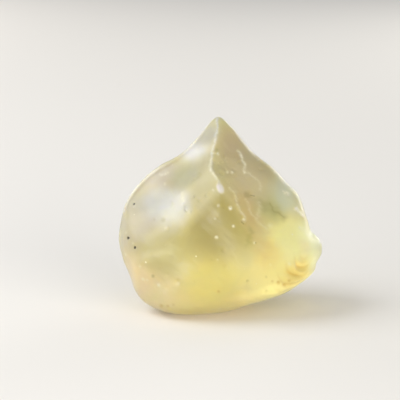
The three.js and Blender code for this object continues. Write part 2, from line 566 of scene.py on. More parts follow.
@dataclass(frozen=True)
class SpotGroup:
    """Spots of one kind. Their height is a share of the radius: above zero stands proud, below is a pit."""

    name: str
    stain: StainAndHighlight
    height_share: float
    spots: tuple[Spot, ...]


@dataclass(frozen=True)
class ScatteredPit:
    """A small pit anywhere on the stone: its middle, its radius, and what lies in it."""

    centre: np.ndarray
    radius: float
    stain: StainAndHighlight
    strength: float


@dataclass(frozen=True)
class ChipReflectionPatch:
    """The painted reflection on the facet of the small chip at the knee: a paler egg-shaped patch as it is
    seen.
    """

    across: float = -0.15
    up: float = 27.2
    half_width: float = 0.78
    half_height: float = 1.1
    slant: float = 0.4
    power: float = 5.0

    def nearness(self, across_up: np.ndarray) -> np.ndarray:
        """One on the chip and nothing outside it.

        Formula: a firm-edged bell of the distance from its middle, with both coordinates in half sizes and
        the one across leaning with the one up.

        Args:
            across_up: Points as seen, in millimetres.

        Returns:
            An array of weights from 0 to 1.
        """
        across = (across_up[..., 0] - self.across) / self.half_width
        up = (across_up[..., 1] - self.up) / self.half_height
        return bell(np.hypot(across + self.slant * up, up), 1.0, self.power)


@dataclass(frozen=True)
class SandWear:
    """The fine unevenness of a sand-worn surface: waves at three scales, each swayed by a broader one."""

    broad: tuple[Wave, Wave] = (Wave((0.9, 0.7, 0.5)), Wave((-0.6, 0.8, 0), 1.3))
    added: Wave = Wave((0.4, -0.8, 0.7))
    middling: tuple[Wave, Wave] = (Wave((1.1, 0, 1.9), sway=1.5), Wave((0, 1.7, -1.2), 2.1, sway=0.8))
    fine: tuple[Wave, Wave] = (Wave((4.1, -2.7, 0), sway=2.2), Wave((0, 3.1, 3.6), sway=1.9))
    height: float = 0.026
    broad_share: float = 0.5
    fine_height: float = 0.008

    def relief(self, p: np.ndarray) -> np.ndarray:
        """The height of the wear.

        Formula: products of two waves at three scales, each scale's phase moved by a broader one, so that no
        grid shows. The broad one has a third wave added.

        Args:
            p: Points, in millimetres.

        Returns:
            An array of heights, in millimetres.
        """
        broad = self.broad[0].at(p) * self.broad[1].at(p) + self.added.at(p)
        middling = self.middling[0].at(p, broad) * self.middling[1].at(p, broad)
        fine = self.fine[0].at(p, middling) * self.fine[1].at(p, broad)
        return self.height * (self.broad_share * broad + middling) + self.fine_height * fine


@dataclass
class StoneRelief:
    """The small relief that the CAD solid leaves out, in millimetres, and the stains and painted highlights
    that go with it.
    """

    seed: int = 29
    trails: tuple[Trail, ...] = (
        # Painted highlights: the crest is raised a little, and the pale on its two stretches stands in for
        # the light caught along its sharp edge.
        Trail("crest edge, upper stretch", (
            (-0.72, 42.4), (-0.7, 40.6), (-0.72, 39.4), (-0.91, 38.6), (-1.2, 37.5), (-1.58, 35.8),
            (-1.84, 34.7),
        ), 0.28, 0.1, StainAndHighlight.PALE, 0.85, 0.06),
        Trail("crest edge, lower stretch", (
            (-1.84, 34.7), (-1.97, 33.2), (-2.12, 32.4), (-2.36, 31.8), (-2.04, 31), (-1.28, 30),
            (-0.52, 28.6),
        ), 0.28, 0.1, StainAndHighlight.PALE, 0.6, 0.06),
        Trail("edge right of the knee", (
            (1.8, 27.3), (2.9, 26.3), (3.27, 24.9), (3.38, 23.8), (3.94, 22.6), (4.9, 21.4), (5.1, 20.5),
        ), 0.3, 0.08, StainAndHighlight.PALE, 0.34, 0.04),
        Trail("tan band beside it", (
            (5.2, 25.5), (6.2, 21), (7.6, 17.5), (8.8, 13.6),
        ), 1.9, 0, StainAndHighlight.TAN, 0.42, 0.4),
        Trail("healed crack, bright stretch", (
            (3.7, 35.2), (4.3, 34.3), (5, 32.9), (5.2, 32.3), (4.8, 31.5), (5.2, 30.7),
        ), 0.28, 0.06, StainAndHighlight.PALE, 0.85, 0.12),
        Trail("healed crack, faint stretch", (
            (5.2, 30.7), (6.3, 30.3), (7.9, 28.9), (8.7, 27.7), (8.3, 26.7),
        ), 0.27, -0.04, StainAndHighlight.PALE, 0.24),
        Trail("inner arc", (
            (5.33, 24.9), (5.7, 23.8), (6.2, 22.4), (6.5, 21.7), (7.3, 20.8), (8, 19.9), (9.1, 19.2),
            (9.8, 18.5),
        ), 0.3, 0.05, StainAndHighlight.PALE, 0.26),
        Trail("outer arc", ((8, 24), (8.3, 22.9), (8, 21.7), (7.6, 21)), 0.5, 0.03, StainAndHighlight.PALE, 0.26),
        Trail("dark dash", ((6.4, 25.75), (7.2, 25.65)), 0.2, -0.05, StainAndHighlight.GRIT, 0.42, 0.08),
        Trail("upper glint", ((13.5, 26.6), (14.6, 25.8)), 0.34, 0.08, StainAndHighlight.PALE, 1.0),
        Trail("lower glint", ((16.1, 23), (17.5, 21.5)), 0.36, 0.1, StainAndHighlight.PALE, 1.0),
        Trail("left wisp", ((-13, 30.2), (-11.3, 30.35)), 0.28, 0.02, StainAndHighlight.PALE, 0.4),
        Trail("cheek wisp", ((-8.4, 26.4), (-7.8, 24.6)), 0.3, 0.02, StainAndHighlight.PALE, 0.35),
        Trail("green smudge", (
            (10.36, 23.8), (10.9, 23.2), (11.6, 22.4), (12.4, 21.9), (13.3, 21.2),
        ), 0.34, 0, StainAndHighlight.GREEN, 0.6, 0.2),
        Trail("green round the smudge", (
            (8.9, 24), (10.9, 22.9), (13.3, 21.2),
        ), 0.9, 0, StainAndHighlight.GREEN, 0.35, 0.3),
        Trail("green shade", ((6.2, 18.2), (6.3, 16.9), (5.6, 15.6)), 0.7, 0, StainAndHighlight.GREEN, 0.4, 0.3),
    )
    spot_groups: tuple[SpotGroup, ...] = (
        SpotGroup("pits with grit in them", StainAndHighlight.GRIT, -0.7, (
            Spot(-18.7, 23.9, 0.3, 0.8), Spot(-19.9, 16.6, 0.3, 1), Spot(-18.4, 14.6, 0.28, 1),
            Spot(4.5, 20.1, 0.25, 0.4), Spot(4.8, 19.8, 0.25, 0.4), Spot(-5.6, 25.4, 0.26, 0.28),
            Spot(-7.3, 22.4, 0.26, 0.28), Spot(-14.2, 20.6, 0.26, 0.3), Spot(7.35, 15.7, 0.24, 0.45),
        )),
        # Painted glints: the bubbles are real, and their pale tint stands in for the light that they catch.
        SpotGroup("opened bubbles with painted glints", StainAndHighlight.PALE, 0.28, (
            Spot(-1.84, 34.7, 0.48, 1), Spot(-0.65, 34.6, 0.33, 0.95), Spot(1.41, 30.7, 0.3, 0.85),
            Spot(2.38, 30.6, 0.3, 0.7), Spot(4.4, 34.3, 0.3, 0.9), Spot(1.97, 23.04, 0.4, 0.95),
            Spot(-0.54, 23.6, 0.3, 0.5), Spot(-1.19, 20.8, 0.28, 0.45), Spot(2.65, 19.2, 0.3, 0.85),
            Spot(4.81, 20.6, 0.34, 0.85),
            Spot(-0.97, 16.8, 0.33, 1), Spot(-0.76, 12.1, 0.26, 0.4), Spot(-13.2, 6.6, 0.34, 1),
            Spot(-16.6, 7.8, 0.32, 0.6), Spot(-15.7, 7.6, 0.26, 0.5), Spot(-17.2, 10.6, 0.28, 0.5),
            Spot(-20.4, 13, 0.3, 0.4), Spot(-20.3, 17.7, 0.26, 0.4), Spot(-18.8, 15.5, 0.3, 0.35),
            Spot(10.5, 19.3, 0.6, 0.35), Spot(17, 18.8, 0.27, 0.5), Spot(14.6, 11.1, 0.28, 0.6),
            Spot(10.5, 11, 0.3, 0.3), Spot(-8, 23.6, 0.36, 0.4), Spot(-6.6, 22.1, 0.3, 0.4),
            Spot(-18.6, 23.3, 0.3, 0.4), Spot(-1.6, 26.9, 0.3, 0.3), Spot(-11.6, 18.6, 0.5, 0.3),
            Spot(-12, 28.2, 0.3, 0.3), Spot(8, 33.3, 0.26, 0.3), Spot(6.95, 15.7, 0.28, 0.5),
        )),
        SpotGroup("green flecks", StainAndHighlight.GREEN, -0.2, (
            Spot(-0.85, 35.5, 0.36, 0.45), Spot(-12.3, 20.6, 0.5, 0.25), Spot(5.6, 7.6, 0.3, 0.4),
            Spot(-14.5, 8.5, 0.36, 0.6), Spot(9.6, 8.4, 0.28, 0.3), Spot(5.7, 25.9, 0.7, 0.35),
        )),
        SpotGroup("amber flecks by the ripples", StainAndHighlight.AMBER, -0.25, (
            Spot(12.3, 7.2, 0.42, 0.8), Spot(13.6, 6.6, 0.46, 0.85), Spot(14.6, 7.4, 0.36, 0.8),
            Spot(10.9, 7.4, 0.32, 0.5), Spot(-12.7, 2.1, 0.42, 0.5), Spot(-11.3, 2.1, 0.32, 0.5),
            Spot(-10.1, 2.4, 0.32, 0.35), Spot(-0.5, 5.3, 0.34, 0.5),
        )),
    )
    # A painted reflection: the chip's facet is tinted pale where it would catch the light.
    chip_reflection_patch: ChipReflectionPatch = ChipReflectionPatch()
    groove_amber: float = 0.6
    scattered_pits: int = 190
    smallest_pit: float = 0.18
    pit_spread: float = 0.42
    pit_rarity: float = 2.5
    pit_depth_share: float = 0.3
    away_from_front: float = 4.0
    away_growth: float = 1.6
    grit_share: float = 0.2
    grit_size: float = 0.6
    pale_share: float = 0.45
    stain_strength: float = 0.75
    sand_wear: SandWear = SandWear()

    def scattered(self, surface: np.ndarray) -> list[ScatteredPit]:
        """Small pits at seeded places all over the stone, most of them tiny.

        Away from the front, which has its own marks, they are larger, and some hold grit or are opened
        bubbles.

        Args:
            surface: The grid of surface points, in millimetres.

        Returns:
            A list of pits.
        """
        draw = np.random.default_rng(self.seed)
        flat = surface.reshape(-1, 3)
        picks = flat[draw.integers(0, len(flat), self.scattered_pits)]
        sizes, kinds = draw.random((2, self.scattered_pits))
        pits = []
        for centre, size, kind in zip(picks, sizes, kinds):
            away = centre[1] > self.away_from_front
            radius = self.smallest_pit + self.pit_spread * size**self.pit_rarity
            radius *= self.away_growth if away else 1.0
            stain = StainAndHighlight.GRIT if kind < self.grit_share and size < self.grit_size else StainAndHighlight.PALE
            stained = away and kind < self.grit_share + self.pale_share
            pits.append(ScatteredPit(centre, radius, stain, self.stain_strength if stained else 0.0))
        return pits


@dataclass
class Stone:
    """The finished stone: one closed mesh over the CAD solid, and its glass."""

    form: StoneForm
    relief: StoneRelief
    around: int = 428
    down: int = 221
    ray_lean: Vector3 = (0.08, -0.32, 0)
    front_firmness: float = 3.0
    smooth_foot: float = 0.8

    def rays(self) -> np.ndarray:
        """Directions of a sphere's grid, closer together at the front.

        Formula: (sin v cos u, sin v sin u, cos v), plus a small lean, made unit length again. u runs round
        the stone and v runs from the tip down.

        Returns:
            An array of unit vectors, rows from the tip down and columns round.
        """
        u = np.linspace(0, 2 * np.pi, self.around, endpoint=False)
        v = np.linspace(0, np.pi, self.down)
        u, v = np.meshgrid(u, v)
        sphere = np.stack([np.sin(v) * np.cos(u), np.sin(v) * np.sin(u), np.cos(v)], -1)
        leaning = sphere + np.array(self.ray_lean)
        return leaning / np.linalg.norm(leaning, axis=-1, keepdims=True)

    def normals(self, points: np.ndarray) -> np.ndarray:
        """Outward directions of a grid's surface: the cross product of its steps down and round.

        Args:
            points: The grid of surface points.

        Returns:
            An array of unit vectors.
        """
        round_step = np.roll(points, -1, axis=1) - np.roll(points, 1, axis=1)
        down_step = np.gradient(points, axis=0)
        out = np.cross(down_step, round_step)
        out[0] = (0, 0, 1)
        out[-1] = (0, 0, -1)
        return out / np.maximum(np.linalg.norm(out, axis=-1, keepdims=True), TINY)

    def marks(self, points: np.ndarray, out: np.ndarray) -> tuple[np.ndarray, dict[StainAndHighlight, np.ndarray]]:
        """The relief's height at each point, and the weights of its stains and painted highlights.

        Args:
            points: The grid of surface points, in millimetres.
            out: Their outward directions.

        Returns:
            An array of heights in millimetres, and an array from 0 to 1 for each stain.
        """
        relief = self.relief
        across_up = seen(points)
        facing = np.clip(-out[..., 1] * self.front_firmness, 0, 1)
        height = relief.sand_wear.relief(points)
        weights = {stain: np.zeros(height.shape) for stain in StainAndHighlight}

        def mark(near: np.ndarray, raised: float, stain: StainAndHighlight, strength: float) -> None:
            """Raises the surface by one mark and adds its stain or painted highlight."""
            height[...] += raised * near
            weights[stain] = np.maximum(weights[stain], strength * near)

        for trail in relief.trails:
            LOG.debug("marked the %s", trail.name)
            mark(trail.nearness(across_up) * facing, trail.height, trail.stain, trail.strength)
        for group in relief.spot_groups:
            LOG.debug("marked the %s", group.name)
            for spot in group.spots:
                raised = group.height_share * spot.radius
                mark(spot.nearness(across_up) * facing, raised, group.stain, spot.strength)
        # Painted reflection on the chip's facet.
        mark(relief.chip_reflection_patch.nearness(across_up) * facing, 0, StainAndHighlight.CHIP_REFLECTION, 1.0)
        mark(self.form.ripples.grooves(points), 0, StainAndHighlight.AMBER, relief.groove_amber)
        for pit in relief.scattered(points):
            near = bell(np.linalg.norm(points - pit.centre, axis=-1), pit.radius, MARK_POWER)
            mark(near, -relief.pit_depth_share * pit.radius, pit.stain, pit.strength)
        return height * np.clip(points[..., 2] / self.smooth_foot, 0, 1), weights

    def fitted(self, points: np.ndarray) -> np.ndarray:
        """The shape moved and scaled so that its box is the CAD solid's box.

        Formula: each coordinate is mapped so that its lowest and highest value meet the box's own.

        Args:
            points: The grid of surface points, in millimetres.

        Returns:
            The points in metres, in the frame.
        """
        low, high = (np.array(corner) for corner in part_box(NODE))
        own_low, own_high = points.reshape(-1, 3).min(0), points.reshape(-1, 3).max(0)
        return low + (points - own_low) * (high - low) / (own_high - own_low)

    def build(self) -> bpy.types.Object:
        """Makes the mesh, with its attributes, and dresses it.

        Returns:
            The new object, at the origin.
        """
        points = self.form.surface(self.rays())
        out = self.normals(points)
        height, weights = self.marks(points, out)
        points = points + height[..., None] * out
        points[..., 2] = np.maximum(points[..., 2], 0)
        mesh = closed_grid("desert_glass_surface", self.fitted(points))
        weights_by_name = {stain.value: weight for stain, weight in weights.items()}
        weights_by_name[BELLY] = self.form.belly_weight(points)
        for name, weight in weights_by_name.items():
            attribute = mesh.attributes.new(name, "FLOAT", "POINT")
            attribute.data.foreach_set("value", pole_rows(weight).astype(np.float32))
        stone = placed("glass_stone", mesh)
        stone.data.materials.append(DesertGlass().material())
        return stone


def placed(name: str, data: bpy.types.ID) -> bpy.types.Object:
    """Puts a mesh, a lamp or a camera into the scene as a new object at the origin.

    Args:
        name: The object's name.
        data: What it shows.

    Returns:
        The new object.
    """
    made = bpy.data.objects.new(name, data)
    bpy.context.scene.collection.objects.link(made)
    return made


def pole_rows(grid: np.ndarray) -> np.ndarray:
    """A grid's values in vertex order: the first row's one pole, the rows between, and the last pole.

    Args:
        grid: Rows that run round, from the top pole to the bottom one.

    Returns:
        An array with one row, or one number, for each vertex.
    """
    values = grid[0, 0].size
    first, between, last = (part.reshape(-1, values) for part in (grid[0, 0], grid[1:-1], grid[-1, 0]))
    return np.concatenate([first, between, last]).squeeze()


def closed_grid(name: str, points: np.ndarray) -> bpy.types.Mesh:
    """A closed mesh from a grid of rows that run round, with a pole at each end.

    Args:
        name: The mesh's name.
        points: Rows of points from the top pole to the bottom one, in metres.

    Returns:
        The new mesh, smooth shaded, with its faces outwards.
    """
    rows, columns = points.shape[:2]
    vertices = pole_rows(points)
    ring = 1 + np.arange((rows - 2) * columns).reshape(rows - 2, columns)
    here, beside = ring, np.roll(ring, -1, axis=1)
    quads = np.stack([here[:-1], here[1:], beside[1:], beside[:-1]], -1).reshape(-1, 4)
    last = len(vertices) - 1
    top = np.stack([np.zeros(columns, int), here[0], beside[0]], -1)
    bottom = np.stack([np.full(columns, last), beside[-1], here[-1]], -1)
    mesh = bpy.data.meshes.new(name)
    mesh.from_pydata(vertices.tolist(), [], [*top.tolist(), *quads.tolist(), *bottom.tolist()])
    mesh.polygons.foreach_set("use_smooth", np.ones(len(mesh.polygons), bool))
    mesh.update()
    return mesh


def screen_colour(red: int, green: int, blue: int) -> Colour:
    """A colour given as it looks on a screen, 0 to 255, as the linear numbers that shaders take.

    Formula: each channel over 255, then ((c + 0.055) / 1.055) to the power 2.4.

    Args:
        red: Red, 0 to 255.
        green: Green, 0 to 255.
        blue: Blue, 0 to 255.

    Returns:
        The linear colour.
    """
    return tuple(((c / 255 + 0.055) / 1.055) ** 2.4 for c in (red, green, blue))


def opaque(colour: Colour) -> tuple[float, float, float, float]:
    """A colour with the fourth number that nodes take."""
    return (*colour, 1.0)


class Span(NamedTuple):
    """A range of values, and what its ends are mapped to."""

    low: float
    high: float
    to_low: float = 0.0
    to_high: float = 1.0


@dataclass(frozen=True)
class Cloud:
    """A cloudy noise: millimetres from cloud to cloud, its finer layers, their strength, and its swirl."""

    size: float
    detail: float = 3.0
    roughness: float = 0.5
    distortion: float = 0.0


@dataclass(frozen=True)
class Zone:
    """A part of the stone with its own tint or with painted light or shade: a ball round a point, in
    millimetres, that fades outwards.

    It is full in its core and gone past its reach. The tint is given as it looks on a screen. The edge is
    frayed by so many millimetres, and the zone can be kept within one of the mesh's own weights.
    """

    name: str
    centre: Vector3
    core: float
    reach: float
    tint: ScreenTone
    strength: float = 1.0
    fray: float = 7.0
    within: str = ""


class NodePainter:
    """A short way to write a material's nodes."""

    def __init__(self, material: bpy.types.Material) -> None:
        """Starts with an empty tree.

        Args:
            material: The material to fill.
        """
        material.use_nodes = True
        self.tree = material.node_tree
        self.tree.nodes.clear()

    def put(self, value: object, target: Socket) -> None:
        """Links a socket to a target, or sets the target to a plain value.

        Args:
            value: The socket or the value.
            target: The input that takes it.
        """
        if isinstance(value, Socket):
            self.tree.links.new(value, target)
        else:
            target.default_value = value

    def add(self, kind: str, inputs: dict[str, object] | None = None, **settings: object) -> bpy.types.Node:
        """Adds a node.

        Args:
            kind: The node's type name.
            inputs: Values or sockets for its inputs, by their names.
            **settings: Its properties.

        Returns:
            The new node.
        """
        node = self.tree.nodes.new(kind)
        for name, setting in settings.items():
            setattr(node, name, setting)
        for name, value in (inputs or {}).items():
            self.put(value, node.inputs[name])
        return node

    def math(self, operation: str, a: object, b: object, clamp: bool = False) -> Socket:
        """A Math node's result.

        Args:
            operation: The node's operation.
            a: The first value or socket.
            b: The second value or socket.
            clamp: Whether the result is kept from 0 to 1.

        Returns:
            The output socket.
        """
        node = self.add("ShaderNodeMath", operation=operation, use_clamp=clamp)
        for value, target in zip((a, b), node.inputs):
            self.put(value, target)
        return node.outputs[0]

    def spread(self, value: Socket, span: Span) -> Socket:
        """A value mapped smoothly from one range to another, and held at its ends.

        Args:
            value: The value's socket.
            span: The two ranges.

        Returns:
            The output socket.
        """
        node = self.add("ShaderNodeMapRange", interpolation_type="SMOOTHSTEP")
        for given, target in zip((value, *span), node.inputs):
            self.put(given, target)
        return node.outputs[0]

    def noise(self, place: Socket, cloud: Cloud) -> Socket:
        """A cloudy noise, as a number about from 0.25 to 0.75.

        Args:
            place: Coordinates in millimetres.
            cloud: The noise's size and layers.

        Returns:
            The output socket.
        """
        node = self.add("ShaderNodeTexNoise", {
            "Vector": place, "Scale": 1 / cloud.size, "Detail": cloud.detail,
            "Roughness": cloud.roughness, "Distortion": cloud.distortion,
        })
        return node.outputs["Fac"]

    def blend(self, weight: Socket, first: Colour | Socket, second: Colour | Socket) -> Socket:
        """Two colours mixed by a weight.

        Args:
            weight: 0 for the first and 1 for the second.
            first: A colour or socket.
            second: A colour or socket.

        Returns:
            The output socket.
        """
        node = self.add("ShaderNodeMix", data_type="RGBA")
        self.put(weight, node.inputs[MIX_WEIGHT])
        for value, index in ((first, MIX_FIRST), (second, MIX_SECOND)):
            self.put(value if isinstance(value, Socket) else opaque(value), node.inputs[index])
        return node.outputs[MIX_RESULT]

    def attribute(self, name: str) -> Socket:
        """One of the mesh's own weights."""
        return self.add("ShaderNodeAttribute", attribute_name=name).outputs["Fac"]


@dataclass(frozen=True)
class DesertGlass:
    """Milky, pale yellow natural glass with a soft sand-worn surface.

    Zones and noises are in millimetres. The scatter's scale and the grain's depth are in metres, and the
    absorption's density is for a metre.
    """

    name: str = "desert_glass_milky_yellow"
    body: Colour = screen_colour(214, 205, 152)
    zones: tuple[Zone, ...] = (
        Zone("cloudy back", (5, 14, 22), 2, 12, (226, 222, 196), 0.75, 10.0),
        Zone("milky back shoulder", (-9, 9, 27), 1, 9, (222, 216, 200), 0.7, 8.0),
        Zone("amber back foot", (-7, 13, 6), 2, 11, (232, 206, 132), 0.6, 9.0),
        Zone("olive back", (9, 13, 11), 1, 8, (190, 182, 116), 0.6, 8.0),
        # Painted glow: the next four zones are the glass's own yellow, made brighter to stand in for light
        # passing through the foot, the right side and the knob.
        Zone("golden foot with painted glow", (-2, -8, 0), 7, 15, (255, 228, 156)),
        Zone("yellow right foot with painted glow", (13, -9, 8), 4, 13, (246, 230, 156)),
        Zone("yellow right side with painted glow", (15.5, -9, 17.5), 3, 8.5, (250, 244, 180), 0.9, 4.0),
        Zone("yellow knob with painted glow", (19.5, -4, 14.5), 3.5, 7, (255, 255, 196), 1.0, 3.0),
        Zone("tan left edge", (-17, -9, 8), 2, 12, (248, 220, 186), 0.75, 9.0),
        Zone("khaki right of the knee", (4, -11.4, 24.5), 3, 7.5, (190, 177, 128), 0.85, 3.0),
        Zone("green right side", (10.6, -6.8, 23.8), 1.5, 6, (172, 174, 118), 0.7, 3.5),
        Zone("tan upper right face", (5, -4, 31.5), 3, 12, (197, 186, 156), 0.95),
        # Partly painted highlight: the flank's pale blue-green tint, made paler where light is reflected on
        # it.
        Zone("blue-white right flank with painted highlight", (15, -3, 25.5), 1.5, 6.5, (200, 214, 208), 0.6, 4.0),
        Zone("milky left side", (-16, -6, 21), 3, 13, (198, 190, 174), 0.9),
        Zone("beige shoulder", (-13.8, -2, 28.6), 1.5, 6, (206, 196, 184), 0.85, 4.0),
        # Painted sheen: these four pale patches on the cheek and the upper flank stand in for the reflection
        # of the light from the left.
        Zone("painted sheen on the cheek", (-13.4, -6.2, 24), 2, 6.5, (220, 222, 224), 0.85, 4.0),
        Zone("painted sheen on the cheek, right end", (-9.6, -8.4, 24.4), 1.5, 6, (226, 228, 230), 0.85, 4.0),
        Zone("painted sheen on the cheek, low end", (-11.2, -10, 21.4), 1, 5, (220, 220, 214), 0.7, 4.0),
        Zone("painted sheen on the upper flank", (-5.7, -2, 35.3), 1, 5.2, (250, 250, 250), 1.0, 3.0),
        Zone("khaki beside the crest", (-3.2, -7, 31), 2, 6.5, (188, 182, 148), 0.85, 2.0),
        Zone("khaki above the ridge", (-3, -11, 26.6), 2, 5.5, (192, 185, 150), 0.85, 1.5),
        # Painted shade: a darker band between the two painted sheens, where the surface turns from the
        # light.
        Zone("painted grey-tan shade band", (-10.8, -2.8, 30), 1, 5, (178, 167, 152), 0.75, 2.0),
        Zone("painted grey-green shade under the flank", (-7.6, -4.6, 29.6), 1, 5, (184, 184, 156), 0.85, 3.0),
        Zone("tan tip face", (2.2, -1.5, 37), 1, 5.5, (200, 184, 158), 0.9, 3.0),
        Zone("olive left of the belly", (-12.6, -12.8, 15.4), 2.5, 8, (188, 181, 134), 0.85, 4.0),
        Zone("olive low cheek", (-8, -14, 17), 3, 9, (190, 184, 122), 0.35, 3.0, BELLY),
        Zone("pale tip", (-3.6, -1.2, 38.3), 1, 4.3, (182, 180, 170), 0.9, 2.0),
        # Painted glow: the belly's yellow foot is brightened to stand in for light passing through it.
        Zone("yellow belly foot with painted glow", (-1, -15.8, 9.5), 3, 9, (234, 220, 128), 0.6, 3.0),
        Zone("amber under the knob", (17, -9, 9), 1.5, 6, (228, 200, 108), 0.9, 2.0),
        Zone("cream above the ripples", (17.2, -7.2, 14.4), 1, 3.4, (244, 224, 176), 0.6, 2.0),
        Zone("orange streak", (10.5, -13.8, 14.5), 0.5, 4.5, (234, 206, 120), 0.5, 3.0),
        # Painted shade: the belly's olive is darkened where it faces away from the light, and most under the
        # knee.
        Zone("olive belly with painted shade", (0.5, -13, 23), 5, 13, (174, 163, 105), 0.95, 2.0, BELLY),
        Zone("deep olive under the knee, painted shade", (-1, -13, 24.5), 2, 7, (156, 144, 92), 0.6, 1.5, BELLY),
    )
    milk: Colour = screen_colour(238, 234, 214)
    pale: Colour = screen_colour(255, 252, 234)
    # The pale lilac tint of the painted reflection on the chip.
    chip_reflection: Colour = screen_colour(238, 232, 236)
    grit: Colour = screen_colour(34, 28, 18)
    tan: Colour = screen_colour(205, 180, 128)
    green: Colour = screen_colour(138, 136, 78)
    amber: Colour = screen_colour(204, 168, 78)
    ior: float = 1.46
    clearness: float = 0.62
    dustiness: float = 0.12
    dust_roughness: float = 0.35
    scatter_scale: float = 0.022
    scatter_colour: Vector3 = (1.0, 0.9, 0.5)
    scatter_forward: float = 0.3
    absorption: Colour = (0.96, 0.88, 0.3)
    absorption_density: float = 13.0
    fraying: Cloud = Cloud(9.0, 5.0, 0.62, 0.8)
    noise_middle: float = 0.5
    milk_clouds: Cloud = Cloud(6.5, 4.0, 0.6, 1.2)
    milk_span: Span = Span(0.52, 0.74, 0.0, 0.14)
    pale_gaps: Cloud = Cloud(0.7, 3.0, 0.7)
    pale_gap_span: Span = Span(0.38, 0.58, 0.45)
    grit_span: Span = Span(0.15, 0.65)
    speck_step: float = 2.6
    speck_core: Span = Span(0.1, 0.05)
    speck_pick: Span = Span(0.8, 0.9, 0.0, 0.85)
    satin_patches: Cloud = Cloud(5.0)
    satin_span: Span = Span(0.35, 0.65, 0.3, 0.38)
    satin_grain: Cloud = Cloud(0.5, 2.0)
    satin_grain_span: Span = Span(0.3, 0.7, 0.0, 0.05)
    groove_roughness: float = 0.1
    coarse_grain: Cloud = Cloud(0.9, 4.0, 0.55)
    fine_grain: Cloud = Cloud(0.28, 2.0)
    fine_grain_share: float = 0.45
    grain_strength: float = 0.14
    grain_depth: float = 0.0001

    def tint(self, paint: NodePainter, place: Socket) -> Socket:
        """The glass's colour: the body's, each zone's in turn, some of them painted sheen, shade or glow,
        then milky clouds, stains, painted highlights and specks.

        Args:
            paint: The node writer.
            place: Coordinates in millimetres.

        Returns:
            The colour socket.
        """
        wander = paint.noise(place, self.fraying)
        colour: Colour | Socket = self.body
        for zone in self.zones:
            weight = self.zone_weight(paint, place, wander, zone)
            colour = paint.blend(weight, colour, screen_colour(*zone.tint))
        milky = paint.spread(paint.noise(place, self.milk_clouds), self.milk_span)
        colour = paint.blend(milky, colour, self.milk)
        # The chip's tint is a painted reflection, and the pale one also paints highlights and glints.
        stains = (
            (StainAndHighlight.TAN, self.tan), (StainAndHighlight.GREEN, self.green), (StainAndHighlight.AMBER, self.amber),
            (StainAndHighlight.PALE, self.pale), (StainAndHighlight.CHIP_REFLECTION, self.chip_reflection), (StainAndHighlight.GRIT, self.grit),
        )
        gaps = paint.spread(paint.noise(place, self.pale_gaps), self.pale_gap_span)
        for stain, stain_colour in stains:
            weight = paint.attribute(stain.value)
            if stain is StainAndHighlight.PALE:
                weight = paint.math("MULTIPLY", weight, gaps)
            elif stain is StainAndHighlight.GRIT:
                weight = paint.spread(weight, self.grit_span)
            colour = paint.blend(weight, colour, stain_colour)
        return paint.blend(self.specks(paint, place), colour, self.pale)

    def zone_weight(self, paint: NodePainter, place: Socket, wander: Socket, zone: Zone) -> Socket:
        """How much of a zone's tint a place takes: its distance from the middle, frayed by a cloudy noise.

        Args:
            paint: The node writer.
            place: Coordinates in millimetres.
            wander: The cloudy noise.
            zone: The zone.

        Returns:
            The weight socket.
        """
        away = paint.add("ShaderNodeVectorMath", {"Vector": place}, operation="DISTANCE", label=zone.name)
        paint.put(zone.centre, away.inputs[1])
        frayed = paint.math("MULTIPLY", paint.math("SUBTRACT", wander, self.noise_middle), zone.fray)
        distance = paint.math("ADD", away.outputs["Value"], frayed)
        weight = paint.spread(distance, Span(zone.reach, zone.core, 0.0, zone.strength))
        return paint.math("MULTIPLY", weight, paint.attribute(zone.within)) if zone.within else weight

    def specks(self, paint: NodePainter, place: Socket) -> Socket:
        """Sparse pale bubbles just under the surface: the cores of a few cells of a cellular pattern.

        Args:
            paint: The node writer.
            place: Coordinates in millimetres.

        Returns:
            The weight socket.
        """
        cells = paint.add("ShaderNodeTexVoronoi", {"Vector": place, "Scale": 1 / self.speck_step})
        core = paint.spread(cells.outputs["Distance"], self.speck_core)
        pick = paint.add("ShaderNodeSeparateColor", {"Color": cells.outputs["Color"]})
        return paint.math("MULTIPLY", core, paint.spread(pick.outputs["Red"], self.speck_pick))

    def frost(self, paint: NodePainter, place: Socket) -> Socket:
        """Roughness: satin from blown sand, smoother on patches, and rougher in the ripples' grooves.

        Args:
            paint: The node writer.
            place: Coordinates in millimetres.

        Returns:
            The roughness socket.
        """
        satin = paint.spread(paint.noise(place, self.satin_patches), self.satin_span)
        grain = paint.spread(paint.noise(place, self.satin_grain), self.satin_grain_span)
        grooves = paint.math("MULTIPLY", paint.attribute(StainAndHighlight.AMBER.value), self.groove_roughness)
        return paint.math("ADD", paint.math("ADD", satin, grain), grooves, clamp=True)

    def grain_normal(self, paint: NodePainter, place: Socket) -> Socket:
        """The finest sand-blasted grain, as a bump on the normal.

        Args:
            paint: The node writer.
            place: Coordinates in millimetres.

        Returns:
            The normal's socket.
        """
        fine = paint.math("MULTIPLY", paint.noise(place, self.fine_grain), self.fine_grain_share)
        both = paint.math("ADD", paint.noise(place, self.coarse_grain), fine)
        bump = paint.add("ShaderNodeBump", {
            "Strength": self.grain_strength, "Distance": self.grain_depth, "Height": both,
        })
        return bump.outputs["Normal"]

